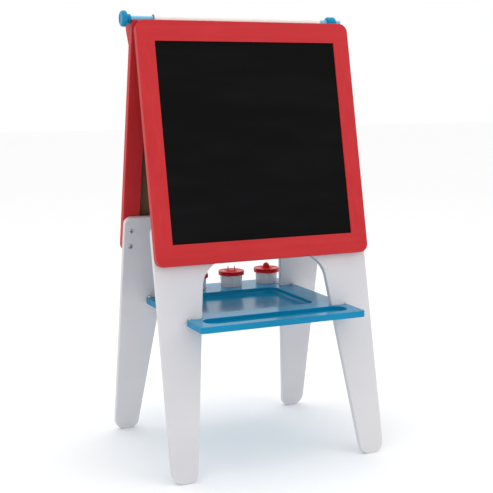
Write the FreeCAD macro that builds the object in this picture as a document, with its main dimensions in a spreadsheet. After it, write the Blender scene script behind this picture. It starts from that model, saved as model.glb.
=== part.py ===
import FreeCAD, Part
import os
import Sketcher

# Double-sided kids easel: two framed boards hinged at the top edge, each carried by a one-piece
# arched leg panel, with a paper roll along the top and a moulded tray between the legs.
# X runs along the boards, -Y is the chalkboard side and Z is up. The origin lies on the floor, midway
# between front and back and midway between the turning knob's end and the boards' other side.
# Lengths are millimetres and angles are degrees.

doc = FreeCAD.newDocument("kids_easel")
sheet = doc.addObject("Spreadsheet::Sheet", "dim")

SIZES = [
    ("board_width", 580.0, "overall width of both boards and both leg panels"),
    ("board_height", 599.0, "height of the boards along their slope"),
    ("board_thick", 20.0, "thickness of rails and stiles"),
    ("top_height", 1097.7, "height of the chalkboard's upper front edge above the floor"),
    ("tilt", 12.1, "lean of each board from the vertical"),
    ("inner_gap", 5.3, "gap between the two boards at their upper edges"),
    ("rail_width", 51.5, "height of the top and bottom rails"),
    ("stile_width", 45.0, "width of the side stiles"),
    ("board_corner", 22.0, "outer corner radius of the boards"),
    ("edge_round", 2.0, "rounding of the wooden edges"),
    ("rear_drop", 18.0, "how much lower the rear board starts, to clear the paper roll"),
    ("panel_thick", 5.0, "thickness of the drawing panels"),
    ("panel_inset", 3.0, "depth of a panel's face behind its frame's face"),
    ("groove_depth", 8.0, "depth of the panel grooves"),
    ("panel_play", 0.6, "play of a panel in its groove, each way"),
    ("leg_thick", 15.0, "thickness of the leg panels"),
    ("leg_lap", 101.0, "overlap of a leg panel on its board"),
    ("leg_corner", 18.0, "upper corner radius of the leg panels"),
    ("arch_rise", 8.0, "height of the arch above the board's lower edge"),
    ("arch_radius", 70.0, "corner radius of the arch"),
    ("root_width", 127.5, "width of a leg at the top of the arch"),
    ("foot_width", 63.5, "width of a leg at the floor"),
    ("foot_outer_radius", 30.0, "outer corner radius of a foot"),
    ("foot_inner_radius", 24.0, "inner corner radius of a foot"),
    ("bolt_radius", 3.0, "radius of the leg bolts' shanks"),
    ("bolt_head_radius", 6.0, "radius of the leg bolts' heads"),
    ("bolt_head", 3.0, "height of the leg bolts' heads"),
    ("bolt_depth", 12.0, "depth of the leg bolts in the board"),
    ("bolt_play", 0.1, "radial play round screws and bolts"),
    ("hole_end", 0.2, "gap left beyond the end of a screw or bolt in its hole"),
    ("bolt_edge", 17.5, "distance of the leg bolts from the board's side"),
    ("bolt_low", 23.0, "height of the lower leg bolt above the board's lower edge"),
    ("bolt_pitch", 42.0, "distance between the two leg bolts"),
    ("hinge_offset", 7.5, "distance of the hinge axis from the boards' inner faces"),
    ("hinge_place", 180.0, "distance of each hinge from the middle"),
    ("hinge_length", 60.0, "length of a hinge"),
    ("hinge_leaf", 28.0, "height of a hinge leaf below the axis"),
    ("leaf_thick", 2.0, "thickness of a hinge leaf"),
    ("knuckle_radius", 5.0, "outer radius of the hinge knuckles"),
    ("pin_radius", 2.5, "radius of the hinge pins"),
    ("pin_play", 0.05, "radial running clearance of the hinge pins"),
    ("knuckle_gap", 0.4, "gap between neighbouring knuckles"),
    ("screw_radius", 1.75, "radius of the small screws' shanks"),
    ("screw_head_radius", 3.4, "radius of the small screws' heads"),
    ("screw_head", 1.6, "height of the small screws' heads"),
    ("screw_depth", 12.0, "depth of the hinge screws in the wood"),
    ("screw_step", 20.0, "distance between neighbouring hinge screws"),
    ("bracket_thick", 15.0, "thickness of the roll brackets"),
    ("bracket_low", 60.0, "distance of a bracket's lower end below the board's corner"),
    ("bracket_bulge", 28.0, "how far a bracket stands out behind the board"),
    ("bracket_top", 3.0, "height of a bracket's top above the board's corner"),
    ("bracket_corner", 12.0, "upper rear corner radius of a bracket"),
    ("bracket_belly", 24.0, "radius of a bracket's rear belly"),
    ("dowel_radius", 7.5, "radius of the roll's dowel"),
    ("dowel_play", 0.1, "radial running clearance of the dowel in its saddles"),
    ("dowel_back", 5.5, "distance of the dowel's axis inside the rear board's back face"),
    ("dowel_up", 4.0, "height of the dowel's axis above the board's corner"),
    ("knob_radius", 19.7, "radius of the turning knob"),
    ("knob_length", 24.0, "length of the turning knob"),
    ("knob_neck_radius", 11.5, "radius of the turning knob's inner step"),
    ("knob_neck", 11.0, "length of the turning knob's inner step"),
    ("knob_round", 6.0, "rounding of the knob's and collar's outer edges"),
    ("knob_cap", 5.0, "thickness of the knob's closed end"),
    ("knob_play", 0.8, "gap between the turning knob and its bracket"),
    ("collar_radius", 16.0, "radius of the roll's retaining collar"),
    ("collar_length", 25.2, "length of the retaining collar"),
    ("roll_length", 457.0, "width of the paper roll"),
    ("roll_shift", -3.0, "sideways place of the paper roll on its dowel"),
    ("roll_radius", 14.0, "outer radius of the paper roll"),
    ("core_thick", 3.0, "wall of the roll's card core"),
    ("core_play", 0.05, "radial play of the core on the dowel"),
    ("tray_lap", 41.9, "how far the tray stands out past the legs' inner edges"),
    ("tray_lip", 26.0, "distance of the tray's front edge from the pencil trough"),
    ("tray_top", 382.0, "height of the tray's rim above the floor"),
    ("tray_height", 15.5, "height of the tray's side wall"),
    ("tray_wall", 2.5, "wall of the tray moulding"),
    ("tray_corner", 8.0, "corner radius of the tray"),
    ("notch_play", 1.0, "gap between the tray's notches and the legs"),
    ("notch_swing", 11.0, "extra length behind the rear legs, which their swing needs"),
    ("well_side", 25.0, "rim between the middle well and the tray's notches"),
    ("well_front", 24.0, "distance of the middle well's front end from the front notches"),
    ("well_rear", 8.8, "distance of the middle well's rear end from the rear notches"),
    ("well_corner", 26.0, "corner radius of the middle well"),
    ("well_foot", 7.0, "rounding at the bottom of the middle well"),
    ("trough_side", 28.0, "distance of the pencil trough from the tray's sides"),
    ("trough_width", 58.0, "width of the pencil trough"),
    ("trough_back", 10.0, "rim between the pencil trough and the front legs"),
    ("trough_depth", 10.0, "depth of the pencil trough"),
    ("stop_radius", 2.5, "radius of the tray stops' pins"),
    ("stop_head_radius", 3.5, "radius of the tray stops' heads"),
    ("stop_head", 6.0, "height of the tray stops above the rim"),
    ("stop_inset", 6.5, "distance of the tray stops from the tray's side edge"),
    ("stop_setback", 5.5, "distance of the tray stops from the notches"),
    ("pot_side", 56.75, "distance of the outer pots from the tray's sides"),
    ("pot_setback", 34.5, "distance of the row of pots behind the rear notches"),
    ("pot_seat", 4.0, "depth of the seats that hold the pots"),
    ("pot_play", 0.7, "radial play of a pot in its seat"),
    ("pot_base_radius", 29.4, "outer radius of a pot at its base"),
    ("pot_flare", 3.0, "how much wider a pot is at its rim than at its base"),
    ("pot_height", 43.5, "height of a pot"),
    ("pot_wall", 1.8, "wall of a pot"),
    ("lid_wall", 3.5, "thickness of a lid's skirt"),
    ("lid_play", 0.3, "gap between a lid's skirt and its pot"),
    ("lid_skirt", 8.5, "length of a lid's skirt below the pot's rim"),
    ("lid_thick", 3.0, "thickness of a lid"),
    ("lid_hole", 10.0, "radius of the brush hole in a lid"),
    ("lid_tab", 5.0, "length of a lid's lifting tab"),
    ("lid_turn", 22.0, "turn of the even pots' lids, tab to the left"),
    ("lid_twist", 14.0, "how much further the odd pots' lids are turned"),
    ("plug_play", 0.3, "radial play of a stopper in its lid"),
    ("plug_depth", 7.0, "length of a stopper below its flange"),
    ("plug_flange", 15.5, "radius of a stopper's flange"),
    ("plug_flange_thick", 2.0, "thickness of a stopper's flange"),
    ("plug_ear", 11.0, "height of a stopper's two finger ears"),
    ("plug_ear_half", 9.0, "half width of an ear"),
    ("plug_ear_thick", 2.5, "thickness of an ear"),
    ("plug_ear_place", 9.0, "distance of each ear's middle from the stopper's axis"),
]

DERIVED = [
    ("half_width", "=board_width / 2"),
    ("lean_cos", "=cos(tilt * 1deg)"),
    ("lean_sin", "=sin(tilt * 1deg)"),
    ("lean_tan", "=tan(tilt * 1deg)"),
    ("face_reach", "=board_thick * lean_cos + inner_gap / 2"),
    ("inner_edge", "=top_height - board_thick * lean_sin"),
    ("open_half", "=half_width - stile_width"),
    ("groove_half", "=open_half + groove_depth"),
    ("panel_front", "=panel_inset"),
    ("groove_start", "=panel_inset - panel_play"),
    ("groove_width", "=panel_thick + 2 * panel_play"),
    ("leg_top", "=leg_lap - board_height"),
    ("arch_top", "=arch_rise - board_height"),
    ("leg_length", "=inner_edge / lean_cos"),
    ("leg_end", "=leg_length + 2 * leg_thick"),
    ("leg_taper", "=(root_width - foot_width) / (leg_length + arch_top)"),
    ("leg_back", "=board_thick + leg_thick"),
    ("axis_height", "=inner_edge + (inner_gap / 2 - hinge_offset / lean_cos) / lean_tan"),
    ("axis_level", "=face_reach * lean_sin + (axis_height - top_height) * lean_cos"),
    ("leg_face_run", "=(top_height - tray_top) * lean_tan"),
    ("notch_front", "=face_reach - board_thick / lean_cos + leg_face_run"),
    ("notch_back", "=notch_front - leg_thick / lean_cos"),
    ("notch_slant", "=tray_height * lean_tan"),
    ("arch_to_tray", "=(inner_edge - tray_top) / lean_cos + arch_top"),
    ("leg_inner", "=half_width - root_width + leg_taper * arch_to_tray"),
    ("notch_half", "=leg_inner - notch_play"),
    ("notch_outer", "=notch_front + notch_slant + notch_play"),
    ("notch_inner", "=notch_back - notch_play"),
    ("notch_end", "=notch_outer + notch_swing"),
    ("trough_front", "=notch_outer + trough_back + trough_width"),
    ("tray_half", "=leg_inner + tray_lap"),
    ("tray_reach", "=trough_front + tray_lip"),
    ("well_half", "=notch_half - well_side"),
    ("well_near", "=notch_inner - well_front"),
    ("well_far", "=notch_inner - well_rear"),
    ("trough_half", "=tray_half - trough_side"),
    ("floor_depth", "=tray_height - tray_wall"),
    ("bore_radius", "=dowel_radius + core_play"),
    ("core_radius", "=bore_radius + core_thick"),
    ("knob_face", "=half_width + knob_play"),
    ("side_shift", "=(knob_face + knob_length - half_width) / 2"),
    ("collar_place", "=half_width - bracket_thick - knob_play - collar_length"),
    ("pot_pitch", "=2 * (tray_half - pot_side) / 3"),
    ("pot_line", "=notch_end + pot_setback"),
    ("pot_floor", "=tray_top - pot_seat"),
    ("pot_top_radius", "=pot_base_radius + pot_flare"),
    ("lid_inner", "=pot_top_radius + lid_play"),
    ("lid_radius", "=lid_inner + lid_wall"),
]


def fill_sheet():
    """Write the driving sizes as plain numbers, then the sizes worked out from them."""
    row = 1
    for name, size, note in SIZES:
        sheet.set(f"A{row}", note)
        sheet.set(f"B{row}", str(size))
        sheet.setAlias(f"B{row}", name)
        row += 1
    for name, formula in DERIVED:
        sheet.set(f"B{row}", formula)
        sheet.setAlias(f"B{row}", name)
        row += 1
    doc.recompute()


fill_sheet()


def size(expression):
    """The number that an expression in the sheet's names stands for."""
    return float(sheet.evalExpression(expression))


X_AXIS = FreeCAD.Vector(1, 0, 0)
Z_AXIS = FreeCAD.Vector(0, 0, 1)


def move_by(across, along, up):
    """A placement that only moves, by three expressions."""
    return FreeCAD.Placement(FreeCAD.Vector(size(across), size(along), size(up)), FreeCAD.Rotation())


# In a board's own frame, x runs along it, y goes in from its outer face and z up from its upper edge.
# The rear board is the front one turned half round, so its own +x points to the world's -X.
MIDDLE = move_by("dim.side_shift", "0", "0")
LEAN = move_by("0", "-dim.face_reach", "dim.top_height")
LEAN.Rotation = FreeCAD.Rotation(X_AXIS, -size("dim.tilt"))
TURN = FreeCAD.Placement(FreeCAD.Vector(), FreeCAD.Rotation(Z_AXIS, 180))
SIDES = {"front": MIDDLE * LEAN, "rear": MIDDLE * TURN * LEAN}
ROLL = SIDES["rear"] * move_by("0", "dim.dowel_back", "dim.dowel_up")
nodes = []


def keep(item, label, place=None):
    """Name a finished sub-part, set it in its place and list it for export."""
    item.Label = label
    if place is not None:
        item.Placement = place
    nodes.append(item)
    return item


def new_body(label, place=None):
    body = doc.addObject("PartDesign::Body", label)
    return keep(body, label, place)


def sketch_on(body, role, offset="0"):
    """A sketch on one of the body's own origin planes, moved along that plane's normal."""
    sketch = body.newObject("Sketcher::SketchObject", body.Name + "_sketch")
    plane = [item for item in body.Origin.OriginFeatures if item.Role == role][0]
    sketch.AttachmentSupport = [(plane, "")]
    sketch.MapMode = "FlatFace"
    sketch.setExpression("AttachmentOffset.Base.z", offset)
    return sketch


def pin_point(sketch, line, end, across, up):
    """Hold one point of the sketch at two sizes given as expressions."""
    for kind, axis, text in (("DistanceX", -2, across), ("DistanceY", -1, up)):
        if text == "0":
            sketch.addConstraint(Sketcher.Constraint("PointOnObject", line, end, axis))
        else:
            number = sketch.addConstraint(Sketcher.Constraint(kind, -1, 1, line, end, size(text)))
            sketch.setExpression(f"Constraints[{number}]", text)


def draw_polygon(sketch, corners):
    points = [FreeCAD.Vector(size(across), size(up), 0) for across, up in corners]
    first = sketch.GeometryCount
    count = len(corners)
    for index in range(count):
        sketch.addGeometry(Part.LineSegment(points[index], points[(index + 1) % count]))
    for index in range(count):
        following = first + (index + 1) % count
        sketch.addConstraint(Sketcher.Constraint("Coincident", first + index, 2, following, 1))
    for index, (across, up) in enumerate(corners):
        pin_point(sketch, first + index, 1, across, up)


def draw_circle(sketch, across, up, radius):
    centre = FreeCAD.Vector(size(across), size(up), 0)
    circle = sketch.addGeometry(Part.Circle(centre, Z_AXIS, size(radius)))
    pin_point(sketch, circle, 3, across, up)
    number = sketch.addConstraint(Sketcher.Constraint("Radius", circle, size(radius)))
    sketch.setExpression(f"Constraints[{number}]", radius)


def rectangle(left, low, right, high):
    return [(left, low), (right, low), (right, high), (left, high)]


def add_feature(body, kind, sketch, length, reverse=False, through=False):
    """Pad or pocket a sketch; a pocket must take material away."""
    doc.recompute()
    before = body.Shape.Volume if body.Tip else 0.0
    feature = body.newObject("PartDesign::" + kind, body.Name + "_" + kind)
    feature.Profile = sketch
    if through:
        feature.Type = "ThroughAll"
        feature.SideType = "Symmetric"
    else:
        feature.setExpression("Length", length)
        feature.Reversed = reverse
    doc.recompute()
    change = body.Shape.Volume - before
    if (change > 0) != (kind == "Pad"):
        raise ValueError(f"{feature.Name} changes nothing")
    return feature


def revolve(body, sketch, axis):
    feature = body.newObject("PartDesign::Revolution", body.Name + "_turn")
    feature.Profile = sketch
    feature.ReferenceAxis = (sketch, [axis])
    doc.recompute()
    return feature


def edges_where(body, test):
    """Names of the body's edges that pass a test."""
    doc.recompute()
    edges = body.Shape.copy()
    edges.Placement = FreeCAD.Placement()
    return [f"Edge{index + 1}" for index, edge in enumerate(edges.Edges) if test(edge)]


def round_edges(body, test, radius):
    names = edges_where(body, test)
    if not names:
        raise ValueError(f"{body.Label}: no edge to round")
    base = body.Tip
    feature = body.newObject("PartDesign::Fillet", body.Name + "_round")
    feature.Base = (base, names)
    feature.setExpression("Radius", radius)
    doc.recompute()
    if "Invalid" in feature.State:
        raise ValueError(f"{feature.Name}: {feature.getStatusString()}")
    return feature


def straight_across(edge, axis, length):
    """True for a straight edge of this length along an axis."""
    box = edge.BoundBox
    spans = {"x": box.XLength, "y": box.YLength, "z": box.ZLength}
    others = [spans[name] for name in spans if name != axis]
    return abs(spans[axis] - length) < 0.01 and max(others) < 0.01


def near(first, second, slack=0.05):
    return abs(first - second) < slack


def flat_at(edge, level):
    """True for an edge that lies wholly at one height."""
    return near(edge.BoundBox.ZMin, level) and near(edge.BoundBox.ZMax, level)


def box_part(name, low, spans):
    """A plain box whose corner and edge lengths are expressions."""
    item = doc.addObject("Part::Box", name)
    for axis, text in zip("xyz", low):
        item.setExpression(f"Placement.Base.{axis}", text)
    for key, text in zip(("Length", "Width", "Height"), spans):
        item.setExpression(key, text)
    return item


def rod_part(name, start, toward, radius, length):
    """A plain cylinder that starts at a point and runs along a direction."""
    item = doc.addObject("Part::Cylinder", name)
    item.Placement = FreeCAD.Placement(FreeCAD.Vector(), FreeCAD.Rotation(Z_AXIS, toward))
    for axis, text in zip("xyz", start):
        item.setExpression(f"Placement.Base.{axis}", text)
    item.setExpression("Radius", radius)
    item.setExpression("Height", length)
    return item


def fuse(name, pieces):
    item = doc.addObject("Part::MultiFuse", name)
    item.Shapes = pieces
    return item


def keep_group(label, items, place):
    """One node for several separate solids."""
    group = doc.addObject("Part::Compound", label)
    group.Links = items
    return keep(group, label, place)


def cut(name, base, tool):
    item = doc.addObject("Part::Cut", name)
    item.Base = base
    item.Tool = tool
    return item


# --- boards ---

HINGES = ("dim.hinge_place", "-dim.hinge_place")
HINGE_SCREWS = [
    (f"{middle} + {step} * dim.screw_step", "dim.axis_level - dim.hinge_leaf / 2")
    for middle in HINGES
    for step in (-1, 0, 1)
]
BOLT_SIDES = ("dim.half_width - dim.bolt_edge", "dim.bolt_edge - dim.half_width")
LOW_BOLT = "dim.bolt_low - dim.board_height"
HIGH_BOLT = "dim.bolt_low + dim.bolt_pitch - dim.board_height"
BRACKET_SCREWS = [
    (across, f"-dim.rear_drop - {share} * dim.bracket_low")
    for across in ("dim.half_width - dim.bracket_thick / 2", "dim.bracket_thick / 2 - dim.half_width")
    for share in (0.12, 0.4)
]


def drill(body, places, radius, from_face, depth):
    """Round holes that start at a face square to y and go towards the outer face."""
    sketch = sketch_on(body, "XZ_Plane", f"-({from_face})")
    for across, up in places:
        draw_circle(sketch, across, up, radius)
    return add_feature(body, "Pocket", sketch, depth, reverse=True)


def board_piece(label, side, corners):
    body = new_body(label, SIDES[side])
    sketch = sketch_on(body, "XZ_Plane")
    draw_polygon(sketch, corners)
    add_feature(body, "Pad", sketch, "dim.board_thick", reverse=True)
    return body


def cut_groove(body, role, corners, length):
    sketch = sketch_on(body, role)
    draw_polygon(sketch, corners)
    feature = add_feature(body, "Pocket", sketch, length, through=length is None)
    if length is not None:
        feature.SideType = "Symmetric"
        doc.recompute()


def soften(body, skip):
    """Round the outer long edges of a rail or stile, apart from those on its joints."""
    thick = size("dim.board_thick")
    radius = size("dim.edge_round")

    def outer(edge):
        box = edge.BoundBox
        on_face = near(box.YMax, 0) or near(box.YMin, thick)
        return on_face and box.YLength < 0.01 and edge.Length > radius and not skip(box)

    round_edges(body, outer, "dim.edge_round")


def make_rail(label, side, top, corner_at):
    """A rail across the board; corner_at is the level of its rounded outer corners, if it has them."""
    low = f"{top} - dim.rail_width"
    body = board_piece(label, side, rectangle("-dim.half_width", low, "dim.half_width", top))
    inward = low if corner_at != "low" else top
    depth = f"{inward} + dim.groove_depth" if inward == low else f"{inward} - dim.groove_depth"
    groove = rectangle("dim.groove_start", inward, "dim.groove_start + dim.groove_width", depth)
    cut_groove(body, "YZ_Plane", groove, "2 * (dim.groove_half + dim.panel_play)")
    if corner_at:
        level = size(top) if corner_at == "high" else size(low)

        def corner(edge):
            return straight_across(edge, "y", size("dim.board_thick")) and near(edge.BoundBox.ZMin, level)

        round_edges(body, corner, "dim.board_corner")
    joint = size(inward)
    soften(body, lambda box: near(box.ZMin, joint) and near(box.ZMax, joint))
    return body


def make_stile(label, side, hand, top):
    """A stile between the rails; hand is 1 on the board's own +x side and -1 on the other."""
    outer = f"{hand} * dim.half_width"
    inner = f"{hand} * dim.open_half"
    high = f"{top} - dim.rail_width"
    low = "dim.rail_width - dim.board_height"
    body = board_piece(label, side, rectangle(inner, low, outer, high))
    groove = rectangle(inner, "dim.groove_start", f"{inner} + {hand} * dim.groove_depth",
                       "dim.groove_start + dim.groove_width")
    cut_groove(body, "XY_Plane", groove, None)
    soften(body, lambda box: box.ZLength < 0.01)
    drill(body, [(f"{hand} * (dim.half_width - dim.bolt_edge)", HIGH_BOLT)],
          "dim.bolt_radius + dim.bolt_play", "dim.board_thick", "dim.bolt_depth")
    return body


def make_panel(label, side, top):
    body = new_body(label, SIDES[side])
    reach = "(dim.groove_half - dim.panel_play)"
    low = "dim.rail_width - dim.groove_depth + dim.panel_play - dim.board_height"
    high = f"{top} - dim.rail_width + dim.groove_depth - dim.panel_play"
    sketch = sketch_on(body, "XZ_Plane", "-dim.panel_front")
    draw_polygon(sketch, rectangle(f"-{reach}", low, reach, high))
    add_feature(body, "Pad", sketch, "dim.panel_thick", reverse=True)
    return body


def make_board(side, top, panel_name):
    corner = "high" if side == "front" else None
    upper = make_rail(f"{side}_top_rail", side, top, corner)
    drill(upper, HINGE_SCREWS, "dim.screw_radius + dim.bolt_play", "dim.board_thick", "dim.screw_depth")
    lower_top = "dim.rail_width - dim.board_height"
    lower = make_rail(f"{side}_bottom_rail", side, lower_top, "low")
    drill(lower, [(across, LOW_BOLT) for across in BOLT_SIDES],
          "dim.bolt_radius + dim.bolt_play", "dim.board_thick", "dim.bolt_depth")
    make_stile(f"{side}_left_stile", side, -1 if side == "front" else 1, top)
    make_stile(f"{side}_right_stile", side, 1 if side == "front" else -1, top)
    make_panel(panel_name, side, top)
    return upper


make_board("front", "0", "chalkboard_panel")
rear_rail = make_board("rear", "-dim.rear_drop", "whiteboard_panel")
drill(rear_rail, BRACKET_SCREWS, "dim.screw_radius + dim.bolt_play", "dim.board_thick",
      "dim.board_thick + dim.edge_round")


# --- leg panels ---

def make_leg_panel(label, side):
    body = new_body(label, SIDES[side])
    face = "-dim.board_thick"
    outline = sketch_on(body, "XZ_Plane", face)
    draw_polygon(outline, rectangle("-dim.half_width", "-dim.leg_end", "dim.half_width", "dim.leg_top"))
    add_feature(body, "Pad", outline, "dim.leg_thick", reverse=True)
    arch = sketch_on(body, "XZ_Plane")
    crown = "(dim.half_width - dim.root_width)"
    spread = f"({crown} + dim.leg_taper * (dim.leg_end + dim.arch_top))"
    draw_polygon(arch, [(f"-{crown}", "dim.arch_top"), (crown, "dim.arch_top"),
                        (spread, "-dim.leg_end"), (f"-{spread}", "-dim.leg_end")])
    add_feature(body, "Pocket", arch, None, through=True)
    floor = sketch_on(body, "YZ_Plane")
    front_level = "(-dim.leg_length)"
    back_level = "(dim.leg_thick * dim.lean_tan - dim.leg_length)"
    draw_polygon(floor, [("dim.board_thick", front_level), ("dim.leg_back", back_level),
                         ("dim.leg_back", "-2 * dim.leg_end"), ("dim.board_thick", "-2 * dim.leg_end")])
    add_feature(body, "Pocket", floor, None, through=True)

    def crosses(edge):
        return edge.BoundBox.YLength > size("dim.leg_thick") - 0.01

    half = size("dim.half_width")
    top = size("dim.leg_top")
    arch_level = size("dim.arch_top")
    sole = -size("dim.leg_length")
    round_edges(body, lambda edge: crosses(edge) and near(edge.BoundBox.ZMin, top), "dim.leg_corner")
    round_edges(body, lambda edge: crosses(edge) and near(edge.BoundBox.ZMin, arch_level), "dim.arch_radius")
    round_edges(body, lambda edge: crosses(edge) and near(edge.BoundBox.ZMin, sole)
                and near(abs(edge.BoundBox.Center.x), half), "dim.foot_outer_radius")
    round_edges(body, lambda edge: crosses(edge) and near(edge.BoundBox.ZMin, sole, 2)
                and abs(edge.BoundBox.Center.x) < half - size("dim.foot_width") + 4, "dim.foot_inner_radius")
    round_edges(body, lambda edge: edge.Length > 5 and not crosses(edge)
                and edge.BoundBox.ZMax > sole + size("dim.leg_thick"), "dim.edge_round")
    bolts = [(across, level) for across in BOLT_SIDES for level in (LOW_BOLT, HIGH_BOLT)]
    drill(body, bolts, "dim.bolt_radius + dim.bolt_play", "dim.leg_back", "dim.leg_thick")
    return body


for side_name in SIDES:
    make_leg_panel(f"{side_name}_leg_panel", side_name)


# --- screws and bolts ---

TOWARDS_FACE = FreeCAD.Vector(0, -1, 0)


def fasteners(label, place, spots, face, shank, depth, head, head_height):
    """A row of identical fasteners whose heads lie on a face square to y, as one node."""
    items = []
    for number, (across, up) in enumerate(spots):
        stem = f"{label}_{number}"
        middle = (across, f"{face} + {head_height} / 2", up)
        top = (across, f"{face} + {head_height}", up)
        reach = f"{depth} + {head_height} / 2 - dim.hole_end"
        shank_rod = rod_part(stem + "_shank", middle, TOWARDS_FACE, shank, reach)
        head_rod = rod_part(stem + "_head", top, TOWARDS_FACE, head, head_height)
        items.append(fuse(stem, [shank_rod, head_rod]))
    return keep_group(label, items, place)


BOLT_SPOTS = [(across, level) for across in BOLT_SIDES for level in (LOW_BOLT, HIGH_BOLT)]
for side_name, side_place in SIDES.items():
    fasteners(f"{side_name}_leg_bolts", side_place, BOLT_SPOTS, "dim.leg_back", "dim.bolt_radius",
              "dim.leg_thick + dim.bolt_depth", "dim.bolt_head_radius", "dim.bolt_head")
    fasteners(f"{side_name}_hinge_screws", side_place, HINGE_SCREWS, "dim.board_thick + dim.leaf_thick",
              "dim.screw_radius", "dim.leaf_thick + dim.screw_depth",
              "dim.screw_head_radius", "dim.screw_head")


# --- hinges ---

KNUCKLES = {
    "front": (("-dim.hinge_length / 2", "dim.hinge_length / 3 - dim.knuckle_gap"),
              ("dim.hinge_length / 6 + dim.knuckle_gap", "dim.hinge_length / 3 - dim.knuckle_gap")),
    "rear": (("-dim.hinge_length / 6", "dim.hinge_length / 3"),),
}


def make_leaf(label, side, middle):
    """A leaf on a board's inner face, with its knuckles carried by a web over the pin."""
    low_corner = (f"{middle} - dim.hinge_length / 2", "dim.board_thick", "dim.axis_level - dim.hinge_leaf")
    plate = ("dim.hinge_length", "dim.leaf_thick", "dim.hinge_leaf + dim.knuckle_radius")
    pieces = [box_part(label + "_plate", low_corner, plate)]
    axis_depth = "dim.board_thick + dim.hinge_offset"
    web_level = "dim.axis_level + dim.knuckle_radius - dim.leaf_thick"
    for number, (start, length) in enumerate(KNUCKLES[side]):
        left = f"{middle} + {start}"
        pieces.append(rod_part(f"{label}_knuckle_{number}", (left, axis_depth, "dim.axis_level"), X_AXIS,
                               "dim.knuckle_radius", length))
        pieces.append(box_part(f"{label}_web_{number}", (left, "dim.board_thick", web_level),
                               (length, "dim.hinge_offset", "dim.leaf_thick")))
    solid = fuse(label + "_solid", pieces)
    bore_start = (f"{middle} - dim.hinge_length", axis_depth, "dim.axis_level")
    tools = [rod_part(label + "_bore", bore_start, X_AXIS, "dim.pin_radius + dim.pin_play",
                      "2 * dim.hinge_length")]
    for number, (across, up) in enumerate(HINGE_SCREWS):
        tools.append(rod_part(f"{label}_hole_{number}", (across, "dim.board_thick + 2 * dim.leaf_thick", up),
                              TOWARDS_FACE, "dim.screw_radius + dim.bolt_play", "3 * dim.leaf_thick"))
    keep(cut(label, solid, fuse(label + "_tools", tools)), label, SIDES[side])


PIN_DEPTH = "dim.board_thick + dim.hinge_offset"
for hand, middle_place in (("right", "dim.hinge_place"), ("left", "-dim.hinge_place")):
    rear_middle = f"-({middle_place})"
    make_leaf(f"{hand}_hinge_front_leaf", "front", middle_place)
    make_leaf(f"{hand}_hinge_rear_leaf", "rear", rear_middle)
    pin_start = (f"{middle_place} - dim.hinge_length / 2", PIN_DEPTH, "dim.axis_level")
    pin = rod_part(f"{hand}_hinge_pin_rod", pin_start, X_AXIS, "dim.pin_radius", "dim.hinge_length")
    keep_group(f"{hand}_hinge_pin", [pin], SIDES["front"])


# --- paper roll and its brackets ---

def make_bracket(label, hand):
    """A cheek on the rear board's upper corner, with an open saddle for the dowel."""
    body = new_body(label, SIDES["rear"])
    start = "dim.half_width - dim.bracket_thick" if hand > 0 else "-dim.half_width"
    sketch = sketch_on(body, "YZ_Plane", start)
    draw_polygon(sketch, [("0", "-dim.rear_drop"), ("dim.board_thick", "-dim.rear_drop"),
                          ("dim.board_thick", "dim.bracket_top"), ("-dim.bracket_bulge", "dim.bracket_top"),
                          ("-dim.bracket_bulge", "-dim.bracket_low * 0.42"), ("0", "-dim.bracket_low")])
    add_feature(body, "Pad", sketch, "dim.bracket_thick")
    back = -size("dim.bracket_bulge")
    top = size("dim.bracket_top")
    thick = size("dim.bracket_thick")
    round_edges(body, lambda edge: straight_across(edge, "x", thick) and near(edge.BoundBox.YMin, back)
                and near(edge.BoundBox.ZMin, top), "dim.bracket_corner")
    round_edges(body, lambda edge: straight_across(edge, "x", thick) and near(edge.BoundBox.YMin, back),
                "dim.bracket_belly")
    saddle = sketch_on(body, "YZ_Plane", "0")
    draw_circle(saddle, "dim.dowel_back", "dim.dowel_up", "dim.dowel_radius + dim.dowel_play")
    add_feature(body, "Pocket", saddle, None, through=True)
    screws = sketch_on(body, "XZ_Plane", "-dim.edge_round")
    for across, up in BRACKET_SCREWS:
        if size(across) * hand > 0:
            draw_circle(screws, across, up, "dim.screw_radius + dim.bolt_play")
    add_feature(body, "Pocket", screws, "dim.screw_depth + dim.edge_round", reverse=True)
    return body


make_bracket("left_roll_bracket", 1)
make_bracket("right_roll_bracket", -1)
fasteners("bracket_screws", SIDES["rear"], BRACKET_SCREWS, "dim.board_thick", "dim.screw_radius",
          "dim.board_thick + dim.screw_depth - dim.edge_round", "dim.screw_head_radius", "dim.screw_head")


def turned(label, profile, place):
    """A piece turned about the roll's axis from a profile of (place along it, radius) pairs."""
    body = new_body(label, place)
    sketch = sketch_on(body, "XZ_Plane")
    draw_polygon(sketch, profile)
    revolve(body, sketch, "H_Axis")
    return body


def ring_edges(level, radius):
    """A test for the circular edge at one place along the roll's axis."""
    def test(edge):
        box = edge.BoundBox
        return near(box.XMin, level) and near(box.XMax, level) and near(box.ZMax, radius)
    return test


DOWEL_BORE = "dim.dowel_radius + dim.bolt_play"
KNOB_STEP = "dim.knob_face + dim.knob_neck"
KNOB_END = "dim.knob_face + dim.knob_length"
knob = turned("turning_knob", [
    ("dim.knob_face", DOWEL_BORE), ("dim.knob_face", "dim.knob_neck_radius"),
    (KNOB_STEP, "dim.knob_neck_radius"), (KNOB_STEP, "dim.knob_radius"),
    (KNOB_END, "dim.knob_radius"), (KNOB_END, "0"),
    (f"{KNOB_END} - dim.knob_cap", "0"), (f"{KNOB_END} - dim.knob_cap", DOWEL_BORE),
], ROLL)
round_edges(knob, ring_edges(size(KNOB_END), size("dim.knob_radius")), "dim.knob_round")
round_edges(knob, ring_edges(size(KNOB_STEP), size("dim.knob_radius")), "dim.edge_round")
round_edges(knob, ring_edges(size("dim.knob_face"), size("dim.knob_neck_radius")), "dim.edge_round")

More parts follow.
